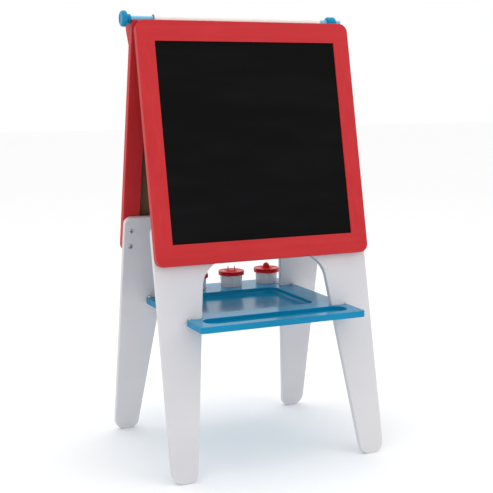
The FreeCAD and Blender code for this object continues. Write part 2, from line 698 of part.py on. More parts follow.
COLLAR_START = "-dim.collar_place"
COLLAR_END = "-dim.collar_place - dim.collar_length"
collar = turned("roll_collar", [
    (COLLAR_START, DOWEL_BORE), (COLLAR_START, "dim.collar_radius"),
    (COLLAR_END, "dim.collar_radius"), (COLLAR_END, DOWEL_BORE),
], ROLL)
for end in (COLLAR_START, COLLAR_END):
    round_edges(collar, ring_edges(size(end), size("dim.collar_radius")), "dim.knob_round")

DOWEL_END = f"{KNOB_END} - dim.knob_cap - dim.knob_play"
turned("roll_dowel", rectangle("-dim.half_width + dim.knob_play", "0", DOWEL_END, "dim.dowel_radius"), ROLL)
ROLL_LEFT = "-dim.roll_shift - dim.roll_length / 2"
ROLL_RIGHT = "-dim.roll_shift + dim.roll_length / 2"
turned("roll_core", rectangle(ROLL_LEFT, "dim.bore_radius", ROLL_RIGHT, "dim.core_radius"), ROLL)
turned("paper_roll", rectangle(ROLL_LEFT, "dim.core_radius", ROLL_RIGHT, "dim.roll_radius"), ROLL)


# --- tray ---

def upright(across, along):
    """A test for the vertical edges at one corner of the tray's plan, in every quarter."""
    def test(edge):
        box = edge.BoundBox
        return (box.XLength < 0.01 and box.YLength < 0.01 and near(abs(box.XMin), across)
                and near(abs(box.YMin), along))
    return test


def make_tray():
    body = new_body("tray", MIDDLE * move_by("0", "0", "dim.tray_top - dim.tray_height"))
    side = [("dim.tray_half", "-dim.tray_reach"), ("dim.tray_half", "-dim.notch_outer"),
            ("dim.notch_half", "-dim.notch_outer"), ("dim.notch_half", "-dim.notch_inner"),
            ("dim.tray_half", "-dim.notch_inner"), ("dim.tray_half", "dim.notch_inner"),
            ("dim.notch_half", "dim.notch_inner"), ("dim.notch_half", "dim.notch_end"),
            ("dim.tray_half", "dim.notch_end"), ("dim.tray_half", "dim.tray_reach")]
    outline = sketch_on(body, "XY_Plane")
    draw_polygon(outline, side + [("-" + across, along) for across, along in reversed(side)])
    add_feature(body, "Pad", outline, "dim.tray_height")
    half = size("dim.tray_half")
    reach = size("dim.tray_reach")
    round_edges(body, upright(half, reach), "dim.tray_corner")
    for along in ("dim.notch_outer", "dim.notch_inner", "dim.notch_end"):
        round_edges(body, upright(half, size(along)), "dim.edge_round")

    seats = sketch_on(body, "XY_Plane", "dim.tray_height")
    for across in POTS:
        draw_circle(seats, across, "dim.pot_line", "dim.pot_base_radius + dim.pot_play")
    add_feature(body, "Pocket", seats, "dim.pot_seat")

    rim_level = size("dim.tray_height")
    well = sketch_on(body, "XY_Plane", "dim.tray_height")
    draw_polygon(well, rectangle("-dim.well_half", "-dim.well_near", "dim.well_half", "dim.well_far"))
    add_feature(body, "Pocket", well, "dim.floor_depth")
    for along in ("dim.well_near", "dim.well_far"):
        round_edges(body, upright(size("dim.well_half"), size(along)), "dim.well_corner")
    floor_level = size("dim.tray_wall")
    round_edges(body, lambda edge: flat_at(edge, floor_level)
                and edge.BoundBox.XMax < size("dim.well_half") + 1, "dim.well_foot")

    trough = sketch_on(body, "XY_Plane", "dim.tray_height")
    draw_polygon(trough, rectangle("-dim.trough_half", "-dim.trough_front", "dim.trough_half",
                                   "dim.trough_width - dim.trough_front"))
    add_feature(body, "Pocket", trough, "dim.trough_depth")
    for along in ("dim.trough_front", "dim.trough_front - dim.trough_width"):
        round_edges(body, upright(size("dim.trough_half"), size(along)),
                    "dim.trough_width / 2 - dim.edge_round")
    inside = size("dim.notch_half") - 1
    round_edges(body, lambda edge: flat_at(edge, rim_level)
                and edge.BoundBox.XMax < inside and edge.BoundBox.YMax < size("dim.well_far") + 1
                and edge.BoundBox.YMin > -size("dim.well_near") - 1, "dim.edge_round / 2")
    round_edges(body, lambda edge: flat_at(edge, rim_level)
                and edge.BoundBox.YMax < -size("dim.notch_outer"), "dim.edge_round / 2")

    holes = sketch_on(body, "XY_Plane", "dim.tray_height")
    for across, along in STOPS:
        draw_circle(holes, across, along, "dim.stop_radius + dim.bolt_play")
    add_feature(body, "Pocket", holes, "dim.tray_height")

    hollow = sketch_on(body, "XY_Plane")
    skirt = "(dim.tray_half - dim.tray_wall)"
    rib = "(dim.well_half + 2 * dim.tray_wall)"
    band = "(dim.notch_inner - dim.tray_wall)"
    for edge, inner in ((skirt, rib), (f"-{skirt}", f"-{rib}")):
        draw_polygon(hollow, rectangle(inner, f"-{band}", edge, band))
    draw_polygon(hollow, rectangle(f"-{skirt}", "dim.tray_wall - dim.tray_reach", skirt,
                                   "-dim.trough_front - dim.tray_wall"))
    add_feature(body, "Pocket", hollow, "dim.floor_depth", reverse=True)
    under_pots = sketch_on(body, "XY_Plane")
    draw_polygon(under_pots, rectangle(f"-{skirt}", "dim.notch_end + dim.tray_wall", skirt,
                                       "dim.tray_reach - dim.tray_wall"))
    add_feature(body, "Pocket", under_pots, "dim.floor_depth - dim.pot_seat", reverse=True)
    return body


POTS = [f"{step} * dim.pot_pitch" for step in (-1.5, -0.5, 0.5, 1.5)]
STOP_X = "(dim.tray_half - dim.stop_inset)"
STOPS = [(sign + STOP_X, along) for along in ("-dim.notch_outer - dim.stop_setback",
                                              "dim.notch_inner - dim.stop_setback") for sign in ("", "-")]
tray = make_tray()


def tray_stops():
    """Four steel pins set in the tray's rim in front of the legs."""
    pins = []
    down = FreeCAD.Vector(0, 0, -1)
    for number, (across, along) in enumerate(STOPS):
        shank = rod_part(f"stop_{number}_shank", (across, along, "dim.tray_height"), down,
                         "dim.stop_radius", "dim.tray_height")
        post = rod_part(f"stop_{number}_post", (across, along, "dim.tray_height + dim.stop_head"), down,
                        "dim.stop_head_radius", "dim.stop_head")
        pins.append(fuse(f"stop_{number}", [shank, post]))
    return keep_group("tray_stops", pins, tray.Placement)


tray_stops()


# --- paint pots ---

RIM = "dim.pot_height"
LID_TOP = "dim.pot_height + dim.lid_thick"
FLANGE_TOP = "dim.pot_height + dim.lid_thick + dim.plug_flange_thick"
EAR_TOP = FLANGE_TOP + " + dim.plug_ear"


def standing(label, place, profile):
    """A round piece turned about its own upright axis from (radius, height) pairs."""
    body = new_body(label, place)
    sketch = sketch_on(body, "XZ_Plane")
    draw_polygon(sketch, profile)
    revolve(body, sketch, "V_Axis")
    return body


def spun(place, angle):
    """A place turned clockwise about its own upright axis."""
    return place * FreeCAD.Placement(FreeCAD.Vector(), FreeCAD.Rotation(Z_AXIS, -size(angle)))


def make_pot(number, across):
    """A pot, its lid and its stopper; odd and even ones are turned differently, as if put on by hand."""
    place = MIDDLE * move_by(across, "dim.pot_line", "dim.pot_floor")
    even = number % 2 == 0
    lid_place = spun(place, "dim.lid_turn" if even else "dim.lid_turn + dim.lid_twist")
    plug_place = spun(place, "dim.lid_turn + 90" if even else "dim.lid_turn")
    standing(f"paint_cup_{number}", place, [
        ("0", "0"), ("dim.pot_base_radius", "0"), ("dim.pot_top_radius", RIM),
        ("dim.pot_top_radius - dim.pot_wall", RIM), ("dim.pot_base_radius - dim.pot_wall", "dim.pot_wall"),
        ("0", "dim.pot_wall"),
    ])
    skirt = f"{RIM} - dim.lid_skirt"
    lid = standing(f"cup_lid_{number}", lid_place, [
        ("dim.lid_hole", RIM), ("dim.lid_inner", RIM), ("dim.lid_inner", skirt),
        ("dim.lid_radius", skirt), ("dim.lid_radius", LID_TOP), ("dim.lid_hole", LID_TOP),
    ])
    tab = sketch_on(lid, "XY_Plane", skirt)
    root = "-(dim.lid_inner + dim.lid_radius) / 2"
    draw_polygon(tab, [("-dim.lid_tab", root), ("dim.lid_tab", root), ("0", "-dim.lid_radius - dim.lid_tab")])
    add_feature(lid, "Pad", tab, "dim.lid_thick")
    top = size(LID_TOP)
    round_edges(lid, lambda edge: flat_at(edge, top) and edge.BoundBox.XLength > 1
                and edge.BoundBox.YMax > size("dim.lid_hole") + 1, "dim.lid_thick / 3")
    plug_radius = "dim.lid_hole - dim.plug_play"
    plug_end = f"{LID_TOP} - dim.plug_depth"
    plug = standing(f"cup_stopper_{number}", plug_place, [
        ("0", plug_end), (plug_radius, plug_end), (plug_radius, LID_TOP),
        ("dim.plug_flange", LID_TOP), ("dim.plug_flange", FLANGE_TOP), ("0", FLANGE_TOP),
    ])
    for sign in ("", "-"):
        ear = sketch_on(plug, "YZ_Plane", f"{sign}dim.plug_ear_place - dim.plug_ear_thick / 2")
        draw_polygon(ear, rectangle("-dim.plug_ear_half", LID_TOP, "dim.plug_ear_half", EAR_TOP))
        add_feature(plug, "Pad", ear, "dim.plug_ear_thick")
    level = size(EAR_TOP)
    round_edges(plug, lambda edge: straight_across(edge, "x", size("dim.plug_ear_thick"))
                and near(edge.BoundBox.ZMax, level), "dim.plug_ear_half - dim.plug_ear_thick")


for pot_number, pot_across in enumerate(POTS, start=1):
    make_pot(pot_number, pot_across)


# --- checks and export ---

doc.recompute()
for item in doc.Objects:
    if "Invalid" in item.State or "Error" in item.State:
        raise ValueError(f"{item.Label} failed: {item.State}")
os.makedirs("parts", exist_ok=True)
for item in nodes:
    if item.Shape.isNull() or not item.Shape.isValid():
        raise ValueError(f"{item.Label} has no valid shape")
    item.Shape.exportStep(f"parts/{item.Label}.step")
print(len(nodes), "sub-parts written")
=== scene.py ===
# %% [markdown]
# # A double-sided kids easel
# The easel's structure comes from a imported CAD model, which is loaded once and never moved. This lesson
# gives every piece its finish and builds the small pieces that deserve more shape than plain CAD gives
# them: the bolts and screws, the knob, the paper roll, and the lidded paint cups. Everything is in metres,
# with +Z up and the chalkboard facing -Y.

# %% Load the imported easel
import math

import bmesh
import bpy
from mathutils import Matrix, Vector


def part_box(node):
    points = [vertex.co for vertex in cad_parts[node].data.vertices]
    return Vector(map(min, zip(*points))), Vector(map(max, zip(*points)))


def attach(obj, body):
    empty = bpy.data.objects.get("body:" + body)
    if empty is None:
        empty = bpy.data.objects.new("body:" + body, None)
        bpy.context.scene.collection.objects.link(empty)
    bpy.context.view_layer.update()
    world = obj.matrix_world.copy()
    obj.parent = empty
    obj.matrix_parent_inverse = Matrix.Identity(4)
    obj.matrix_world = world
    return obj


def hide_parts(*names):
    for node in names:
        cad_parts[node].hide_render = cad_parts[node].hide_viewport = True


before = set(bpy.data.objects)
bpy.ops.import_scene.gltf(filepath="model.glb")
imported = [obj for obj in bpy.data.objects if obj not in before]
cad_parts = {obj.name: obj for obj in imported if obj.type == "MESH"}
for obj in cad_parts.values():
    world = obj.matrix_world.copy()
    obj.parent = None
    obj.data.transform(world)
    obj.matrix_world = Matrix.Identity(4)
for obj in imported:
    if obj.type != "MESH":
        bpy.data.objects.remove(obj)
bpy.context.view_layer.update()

scene = bpy.context.scene
MM = 0.001


# %% [markdown]
# ## Writing shader maths as sums
# A material is a graph of nodes, and most of the nodes in it only add and multiply. Wrapping a socket in a
# small class lets those parts be written as ordinary Python sums, so that what a finish does can be read
# in one line. Colours and vectors have nodes of their own, because a Math node would turn a colour grey.

# %% A socket that can be added and multiplied
class Wire:
    """One output socket of a material's graph."""

    def __init__(self, tree, socket):
        self.tree = tree
        self.socket = socket

    def add(self, kind, settings=None, inputs=None, output=0):
        """A new node: its settings come first, then the values or wires of its sockets."""
        node = self.tree.nodes.new(kind)
        for name, value in (settings or {}).items():
            if name == "stops":
                set_stops(node.color_ramp, value)
            else:
                setattr(node, name, value)
        for name, value in (inputs or {}).items():
            connect(self.tree, value, node.inputs[name])
        return Wire(self.tree, node.outputs[output])

    def maths(self, operation, *values):
        return self.add("ShaderNodeMath", {"operation": operation}, dict(enumerate(values)))

    def __add__(self, other):
        return self.maths("ADD", self, other)

    def __sub__(self, other):
        return self.maths("SUBTRACT", self, other)

    def __rsub__(self, other):
        return self.maths("SUBTRACT", other, self)

    def __mul__(self, other):
        return self.maths("MULTIPLY", self, other)

    __radd__ = __add__
    __rmul__ = __mul__


def connect(tree, value, socket):
    if isinstance(value, Wire):
        tree.links.new(value.socket, socket)
    else:
        socket.default_value = value


def set_stops(ramp, stops):
    """Give a colour ramp its (place, grey level) stops."""
    while len(ramp.elements) < len(stops):
        ramp.elements.new(1.0)
    for element, (place, level) in zip(ramp.elements, stops):
        element.position = place
        element.color = (level, level, level, 1)


# %% [markdown]
# ## Small parts of every finish
# Painted board, moulded plastic and steel all need the same few things: a cloudy pattern, a colour that
# moves a little between two tones, a mask that picks out the edges, and a fine relief. They are written
# once here. The patterns read Object coordinates, and each piece's object sits at the origin, so a pattern
# has its real size.

# %% Helpers for patterns
def tone(red, green, blue):
    """A colour from its 0 to 255 screen levels."""
    levels = [channel / 255 for channel in (red, green, blue)]
    return tuple(c / 12.92 if c <= 0.04045 else ((c + 0.055) / 1.055) ** 2.4 for c in levels) + (1.0,)


def start_finish(name):
    """A new material, its Principled shader and its Object coordinates."""
    material = bpy.data.materials.new(name)
    material.use_nodes = True
    tree = material.node_tree
    place = Wire(tree, tree.nodes.new("ShaderNodeTexCoord").outputs["Object"])
    return material, tree.nodes["Principled BSDF"], place


def finish_with(material, shader, links=None, values=None):
    """Link what varies and set what is the same all over."""
    for name, value in (values or {}).items():
        shader.inputs[name].default_value = value
    for name, wire in (links or {}).items():
        connect(material.node_tree, wire, shader.inputs[name])
    return material


def cloud(place, scale, detail=4.0, rough=0.55):
    """A soft noise of this many cells in a metre."""
    return place.add("ShaderNodeTexNoise", None,
                     {"Vector": place, "Scale": scale, "Detail": detail, "Roughness": rough})


def stretched(place, turn, stretch):
    """Coordinates turned, then stretched, for a pattern that runs one way."""
    settings = {"vector_type": "POINT"}
    inputs = {"Vector": place, "Rotation": turn, "Scale": stretch}
    return place.add("ShaderNodeMapping", settings, inputs)


def blend_colour(factor, first, second):
    """The first colour where the factor is 0, and the second where it is 1."""
    settings = {"data_type": "RGBA", "clamp_factor": True}
    return factor.add("ShaderNodeMix", settings, {0: factor, 6: first, 7: second}, 2)


def ramp(value, stops):
    return value.add("ShaderNodeValToRGB", {"stops": stops}, {"Fac": value})


def edges_of(place, width):
    """Near 1 on sharp edges within this width, and 0 on flat faces."""
    soft = place.add("ShaderNodeBevel", {"samples": 4}, {"Radius": width})
    flat = place.add("ShaderNodeNewGeometry", None, None, "Normal")
    agree = place.add("ShaderNodeVectorMath", {"operation": "DOT_PRODUCT"}, {0: soft, 1: flat}, "Value")
    return ramp(1 - agree, [(0.02, 0.0), (0.3, 1.0)])


def relief(height, depth, strength=1.0):
    return height.add("ShaderNodeBump", None, {"Height": height, "Distance": depth, "Strength": strength})


def dress(node, material):
    """Give a CAD node this finish alone."""
    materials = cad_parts[node].data.materials
    materials.clear()
    materials.append(material)


EDGE_WIDTH = 0.0018
PAINT_IOR = 1.48
print("pattern helpers ready")

# %% [markdown]
# ## Where the boards are
# Many of the finishes and pieces follow the boards, which lean back from the vertical. The lean isn't
# typed in again: it is read from the largest flat face of each drawing panel.

# %% Measure the lean of the boards
def outer_normal(node, sign):
    """The normal of a panel's largest face, pointing to -Y or +Y as sign says."""
    face = max(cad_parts[node].data.polygons, key=lambda polygon: polygon.area)
    normal = face.normal.copy()
    return normal if normal.y * sign > 0 else -normal


OUT = {"front": outer_normal("chalkboard_panel", -1), "rear": outer_normal("whiteboard_panel", 1)}
for side, normal in OUT.items():
    print(side, "board leans", round(math.degrees(math.atan2(normal.z, abs(normal.y))), 2), "degrees")


# %% [markdown]
# ## Red paint
# The frames are smooth wood fibre rails under satin red paint. Sprayed paint isn't a flat colour: it
# clouds a little and the rail's grain shows through as faint long streaks. Along the edges the red is
# painted lighter in patches, a painted highlight where the rounded edges catch the light. The streaks run
# along the rails and stand upright on the stiles, so the same finish is made once for each.

# %% Red paint for rails and stiles
def red_paint(name, long_axis):
    material, shader, place = start_finish(name)
    stretch = (3, 90, 90) if long_axis == "X" else (90, 90, 3)
    streaks = cloud(stretched(place, (0, 0, 0), stretch), 1.0, 6)
    broad = cloud(place, 9.0)
    # Patches of lighter pink along every sharp edge: a painted highlight on the rounded edges.
    edge_highlight = edges_of(place, EDGE_WIDTH) * ramp(cloud(place, 60.0), [(0.35, 0.3), (0.7, 1.0)])
    paint = blend_colour(ramp(streaks * 0.5 + broad * 0.5, [(0.35, 0.0), (0.65, 1.0)]),
                         tone(184, 42, 46), tone(194, 50, 54))
    edge_lit_paint = blend_colour(edge_highlight * 0.35, paint, tone(212, 84, 86))
    peel = cloud(place, 900.0, 2) * 0.6 + streaks * 0.4
    gloss = 0.34 + broad * 0.12
    return finish_with(material, shader,
                       {"Base Color": edge_lit_paint, "Roughness": gloss, "Normal": relief(peel, 0.00012, 0.5)},
                       {"IOR": PAINT_IOR, "Specular IOR Level": 0.12})


red_rail = red_paint("red_paint_rails", "X")
red_stile = red_paint("red_paint_stiles", "Z")
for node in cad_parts:
    if "_rail" in node:
        dress(node, red_rail)
    elif "_stile" in node or "roll_bracket" in node:
        dress(node, red_stile)
print("painted the frames red")


# %% [markdown]
# ## White leg panels
# The leg panels are fibreboard with a smooth white lacquer. At arm's length it is plain white, but close
# up the lacquer has an even, slightly pebbled skin, a faint warm cloudiness, and edges where the board
# drinks more of it.

# %% White lacquer
def white_lacquer():
    material, shader, place = start_finish("white_lacquer")
    broad = cloud(place, 5.0)
    specks = ramp(cloud(place, 420.0, 2), [(0.68, 0.0), (0.76, 1.0)])
    edge = edges_of(place, EDGE_WIDTH)
    coat = blend_colour(ramp(broad, [(0.3, 0.0), (0.7, 1.0)]), tone(205, 204, 208), tone(212, 211, 214))
    speckled = blend_colour(specks * 0.25, coat, tone(186, 184, 182))
    edged = blend_colour(edge * 0.3, speckled, tone(200, 197, 192))
    pebble = cloud(place, 650.0, 3)
    return finish_with(material, shader,
                       {"Base Color": edged, "Roughness": 0.42 + broad * 0.12,
                        "Normal": relief(pebble, 0.0001, 0.5)},
                       {"IOR": PAINT_IOR, "Specular IOR Level": 0.35})


lacquer = white_lacquer()
for node in ("front_leg_panel", "rear_leg_panel"):
    dress(node, lacquer)
print("lacquered the leg panels")


# %% [markdown]
# ## The two drawing panels
# Each panel is a thin brown hardboard. One has a skin of matt black chalkboard paint on its outer face,
# which holds a faint haze of wiped chalk. The other has a hard white dry-wipe skin with a wet-looking
# gloss. The skin is told from the bare back by its depth: everything within a millimetre of the outer face
# is skin.

# %% Panel finishes
SKIN_DEPTH = 1.0 * MM


def skin_mask(place, side, node):
    """1 on the panel's outer skin and 0 on the hardboard behind it."""
    normal = OUT[side]
    depth = place.add("ShaderNodeVectorMath", {"operation": "DOT_PRODUCT"}, {0: place, 1: normal}, "Value")
    face = max(vertex.co.dot(normal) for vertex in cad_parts[node].data.vertices)
    return depth.maths("GREATER_THAN", depth, face - SKIN_DEPTH)


def hardboard(place):
    """The bare board's colour, and the fibres that also give it its relief."""
    fibres = cloud(place, 260.0, 6, 0.7)
    brown = blend_colour(ramp(fibres, [(0.35, 0.0), (0.7, 1.0)]), tone(92, 62, 42), tone(120, 84, 58))
    return brown, fibres


def chalkboard_finish():
    material, shader, place = start_finish("chalkboard_paint")
    skin = skin_mask(place, "front", "chalkboard_panel")
    bare, fibres = hardboard(place)
    wipes = cloud(stretched(place, (0, math.radians(24), 0), (4, 4, 22)), 1.0, 5)
    haze = ramp(wipes * 0.6 + cloud(place, 3.0) * 0.4, [(0.45, 0.0), (0.8, 1.0)])
    slate = blend_colour(haze * 0.55, tone(14, 14, 15), tone(28, 28, 30))
    grain = cloud(place, 1400.0, 2)
    return finish_with(material, shader,
                       {"Base Color": blend_colour(skin, bare, slate), "Roughness": 0.74 + haze * 0.12,
                        "Normal": relief(grain * 0.6 + fibres * 0.4, 0.00015, 0.6)},
                       {"IOR": 1.42, "Specular IOR Level": 0.05})


def whiteboard_finish():
    material, shader, place = start_finish("dry_wipe_white")
    skin = skin_mask(place, "rear", "whiteboard_panel")
    bare, fibres = hardboard(place)
    ghosts = cloud(stretched(place, (0, math.radians(-30), 0), (5, 5, 16)), 1.0, 5)
    white = blend_colour(ramp(ghosts, [(0.5, 0.0), (0.8, 1.0)]), tone(244, 245, 246), tone(232, 235, 239))
    dull = 1 - skin
    return finish_with(material, shader,
                       {"Base Color": blend_colour(skin, bare, white),
                        "Roughness": 0.12 + dull * 0.6 + ghosts * 0.08,
                        "Normal": relief(fibres, 0.00008, 0.25)},
                       {"IOR": 1.5})


dress("chalkboard_panel", chalkboard_finish())
dress("whiteboard_panel", whiteboard_finish())
print("finished the drawing panels")


# %% [markdown]
# ## Blue and red plastic
# The tray, the knob and the lids are injection moulded. Such plastic is glossy but never a mirror: the
# surface has long, low waves from cooling, fine scuffs that show in the gloss, and a colour that deepens a
# little where the wall is thick. One function makes each colour, and the tray gets the broadest waves.

# %% Moulded plastic
def moulded(name, dark, light, wave_scale, gloss):
    material, shader, place = start_finish(name)
    broad = cloud(place, 7.0, 3)
    waves = cloud(place, wave_scale, 2)
    scratches = cloud(stretched(place, (0.3, 0.2, 0.7), (40, 160, 160)), 1.0, 6)
    scuffs = ramp(scratches, [(0.55, 0.0), (0.75, 1.0)])
    colour = blend_colour(ramp(broad, [(0.3, 0.0), (0.7, 1.0)]), dark, light)
    # Every sharp edge is mixed towards a lighter colour: a painted highlight on the plastic's rounded
    # edges and rims.
    edge = edges_of(place, 0.0012)
    edge_highlight_colour = tuple(min(1.0, channel * 1.35 + 0.03) for channel in light[:3]) + (1.0,)
    edge_highlighted = blend_colour(edge * 0.25, colour, edge_highlight_colour)
    skin = waves * 0.8 + cloud(place, 1200.0, 2) * 0.2
    return finish_with(material, shader,
                       {"Base Color": edge_highlighted, "Roughness": gloss + scuffs * 0.14 + broad * 0.06,
                        "Normal": relief(skin, 0.0002, 0.25)},
                       {"IOR": 1.5, "Specular IOR Level": 0.18})


tray_blue = moulded("tray_blue_plastic", tone(0, 124, 166), tone(0, 138, 182), wave_scale=60.0, gloss=0.14)
knob_blue = moulded("knob_blue_plastic", tone(0, 124, 166), tone(0, 144, 190), wave_scale=240.0, gloss=0.1)
lid_red = moulded("lid_red_plastic", tone(190, 14, 24), tone(204, 22, 32), wave_scale=240.0, gloss=0.2)
dress("tray", tray_blue)
print("moulded plastics ready")


# %% [markdown]
# ## Steel, painted dowel, card and paper
# The fasteners and hinges are zinc plated steel, with fine turned scratches. The dowel is a wooden rod
# under a thin pale blue paint, through which its grain shows. The roll's core is recycled card, wound on a
# slant, and coloured very dark as a painted shade for the hollow inside the roll's end. Its paper is white
# with the fibres and the faint bands of a machine-made roll.

# %% Steel, dowel, card and paper finishes
def plated_steel():
    material, shader, place = start_finish("zinc_plated_steel")
    scratches = cloud(stretched(place, (0.2, 0.1, 0.4), (60, 900, 900)), 1.0, 4)
    spots = cloud(place, 300.0, 4)
    colour = blend_colour(ramp(spots, [(0.35, 0.0), (0.7, 1.0)]), tone(176, 178, 180), tone(206, 207, 208))
    return finish_with(material, shader,
                       {"Base Color": colour, "Roughness": 0.24 + scratches * 0.22,
                        "Normal": relief(scratches, 0.00005, 0.35)},
                       {"Metallic": 1.0})


def painted_dowel():
    material, shader, place = start_finish("pale_blue_dowel")
    grain = cloud(stretched(place, (0, 0, 0), (6, 420, 420)), 1.0, 5)
    colour = blend_colour(ramp(grain, [(0.4, 0.0), (0.65, 1.0)]), tone(104, 176, 212), tone(140, 198, 226))
    return finish_with(material, shader,
                       {"Base Color": colour, "Roughness": 0.3 + grain * 0.15,
                        "Normal": relief(grain, 0.0001, 0.4)},
                       {"IOR": PAINT_IOR})


def core_card_with_painted_shade():
    material, shader, place = start_finish("core_card_with_painted_shade")
    fibres = cloud(stretched(place, (0.6, 0, 0.5), (300, 900, 900)), 1.0, 6)
    winding = place.add("ShaderNodeTexWave", {"wave_type": "BANDS", "bands_direction": "DIAGONAL"},
                        {"Vector": place, "Scale": 12.0, "Distortion": 0.6}, "Fac")
    # Both tones are far darker than card: the core is coloured as the painted shade inside the roll's
    # hollow end.
    colour = blend_colour(fibres * 0.7 + winding * 0.3, tone(48, 44, 42), tone(92, 84, 78))
    return finish_with(material, shader,
                       {"Base Color": colour, "Roughness": 0.85 + fibres * 0.1,
                        "Normal": relief(fibres, 0.0002, 0.7)})


def paper():
    material, shader, place = start_finish("white_drawing_paper")
    fibres = cloud(place, 700.0, 5, 0.7)
    bands = cloud(stretched(place, (0, 0, 0), (28, 1, 1)), 1.0, 3)
    colour = blend_colour(ramp(fibres * 0.4 + bands * 0.6, [(0.35, 0.0), (0.7, 1.0)]),
                          tone(236, 236, 232), tone(247, 247, 245))
    return finish_with(material, shader,
                       {"Base Color": colour, "Roughness": 0.78 + fibres * 0.12,
                        "Normal": relief(fibres, 0.00008, 0.5)},
                       {"Specular IOR Level": 0.3})


steel = plated_steel()
paper_white = paper()
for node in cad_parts:
    if "hinge" in node:
        dress(node, steel)
dress("roll_dowel", painted_dowel())
dress("roll_core", core_card_with_painted_shade())
print("steel, dowel, card and paper ready")


# %% [markdown]
# ## Turning a shape on a lathe
# The knob, the cups and the bolts are all round, so each starts as a line of points from its axis
# outwards, which `spin` sweeps once round the Z axis. The full turn merges its last step with its first,
# and doubles on the axis are merged afterwards. A rounded corner in the line is a short arc worked out by
# a formula.

# %% Lathe helpers
def arc(centre, radius, start, stop, steps=5):
    """Points of an arc in the (radius, height) plane, by angles in degrees."""
    points = []
    for step in range(steps + 1):
        angle = math.radians(start + (stop - start) * step / steps)
        points.append((centre[0] + radius * math.cos(angle), centre[1] + radius * math.sin(angle)))
    return points


def lathe(profile, steps):
    """Spin a line of (radius, height) points in millimetres round the Z axis."""
    turned = bmesh.new()
    verts = [turned.verts.new((radius * MM, 0, height * MM)) for radius, height in profile]
    edges = [turned.edges.new(pair) for pair in zip(verts, verts[1:])]
    bmesh.ops.spin(turned, geom=verts + edges, cent=(0, 0, 0), axis=(0, 0, 1), angle=math.tau,
                   steps=steps, use_merge=True)
    bmesh.ops.remove_doubles(turned, verts=turned.verts, dist=0.002 * MM)
    bmesh.ops.recalc_face_normals(turned, faces=turned.faces)
    return turned


def moved(bm, matrix):
    """The same bmesh, moved and turned by a matrix."""
    bmesh.ops.transform(bm, matrix=matrix, verts=bm.verts)
    return bm


def join(bm, other):
    """Add a copy of another bmesh to this one, and free the other."""
    mesh = bpy.data.meshes.new("joined")
    other.to_mesh(mesh)
    other.free()
    bm.from_mesh(mesh)
    bpy.data.meshes.remove(mesh)
    return bm


SHARP_FROM = math.radians(38)


def make_piece(name, bm, material, body, slot, *nodes):
    """Make a piece of a finished bmesh: it rides on a body and stands for CAD nodes."""
    mesh = bpy.data.meshes.new(name)
    bm.to_mesh(mesh)
    bm.free()
    mesh.materials.append(material)
    mesh.shade_smooth()
    mesh.set_sharp_from_angle(angle=SHARP_FROM)
    piece = bpy.data.objects.new(name, mesh)
    scene.collection.objects.link(piece)
    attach(piece, body)
    if nodes:
        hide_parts(*nodes)
    print(name, len(mesh.polygons), "faces")
    return piece


# %% [markdown]
# ## Bolts and screws
# A bolt is a lathe shape with a socket in its head. The head's dome stops at a ring, and the socket's own
# outline, six-sided for a bolt or a cross for a screw, is bridged to that ring and pushed down into the
# head. CAD has each set of fasteners as separate plain solids in one node, so each solid is measured to
# find where a bolt goes.

# %% Fastener shapes
def socket_ring(bm, outline, depth, height):
    """Close a head's open top ring with a socket of this outline, in millimetres."""
    rim = [edge for edge in bm.edges if edge.is_boundary]
    points = [bm.verts.new((across * MM, along * MM, height * MM)) for across, along in outline]
    inner = [bm.edges.new(pair) for pair in zip(points, points[1:] + points[:1])]
    bmesh.ops.bridge_loops(bm, edges=rim + inner)
    floor = bmesh.ops.extrude_edge_only(bm, edges=inner)["geom"]
    low = [item for item in floor if isinstance(item, bmesh.types.BMVert)]
    bmesh.ops.translate(bm, verts=low, vec=(0, 0, -depth * MM))
    bottom = [item for item in floor if isinstance(item, bmesh.types.BMEdge) and item.is_boundary]
    bmesh.ops.holes_fill(bm, edges=bottom, sides=0)
    bmesh.ops.recalc_face_normals(bm, faces=bm.faces)
    return bm


DOME_SHARE, DOME_STEPS, FASTENER_SIDES = 0.7, 6, 24


def fastener(head_radius, head_height, shank_radius, length, outline, socket_radius, depth):
    """A domed fastener that stands on z = 0 with its shank below it."""
    dome = head_height * DOME_SHARE
    profile = [(0, -length), (shank_radius * 0.7, -length), (shank_radius, -length + 1), (shank_radius, 0),
               (head_radius - 0.2, 0), (head_radius, 0.2), (head_radius, head_height - dome)]
    reach = head_radius - socket_radius
    for step in range(1, DOME_STEPS + 1):
        angle = math.radians(90 * step / DOME_STEPS)
        profile.append((head_radius - reach * (1 - math.cos(angle)),
                        head_height - dome + dome * math.sin(angle)))
    return socket_ring(lathe(profile, FASTENER_SIDES), outline, depth, head_height)


def polygon_outline(sides, radius):
    """The corners of a socket with flat sides, such as a hexagon."""
    angles = [math.tau * corner / sides for corner in range(sides)]
    return [(radius * math.cos(angle), radius * math.sin(angle)) for angle in angles]


def cross_outline(reach, half):
    """The corners of a cross socket whose arms have this half width."""
    quarter = [(reach, -half), (reach, half), (half, half)]
    points = []
    for turn in range(4):
        cos, sin = round(math.cos(turn * math.pi / 2)), round(math.sin(turn * math.pi / 2))
        points += [(x * cos - y * sin, x * sin + y * cos) for x, y in quarter]
    return points


# %% [markdown]
# To place them, each solid's corners are sorted along the direction that its head looks. The ring of
# corners that lies furthest that way is the top of the head, and its middle is a point on the bolt's axis.

# %% Find each solid and seat a fastener on it
def solids_of(node):
    """The corners of each separate solid of a CAD node."""
    copy = bmesh.new()
    copy.from_mesh(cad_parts[node].data)
    bmesh.ops.remove_doubles(copy, verts=copy.verts, dist=0.001 * MM)
    waiting = set(copy.verts)
    solids = []
    for first in copy.verts:
        if first not in waiting:
            continue
        waiting.remove(first)
        reached = [first]
        corners = []
        while reached:
            vertex = reached.pop()
            corners.append(vertex.co.copy())
            for edge in vertex.link_edges:
                other = edge.other_vert(vertex)
                if other in waiting:
                    waiting.remove(other)
                    reached.append(other)
        solids.append(corners)
    copy.free()
    return solids


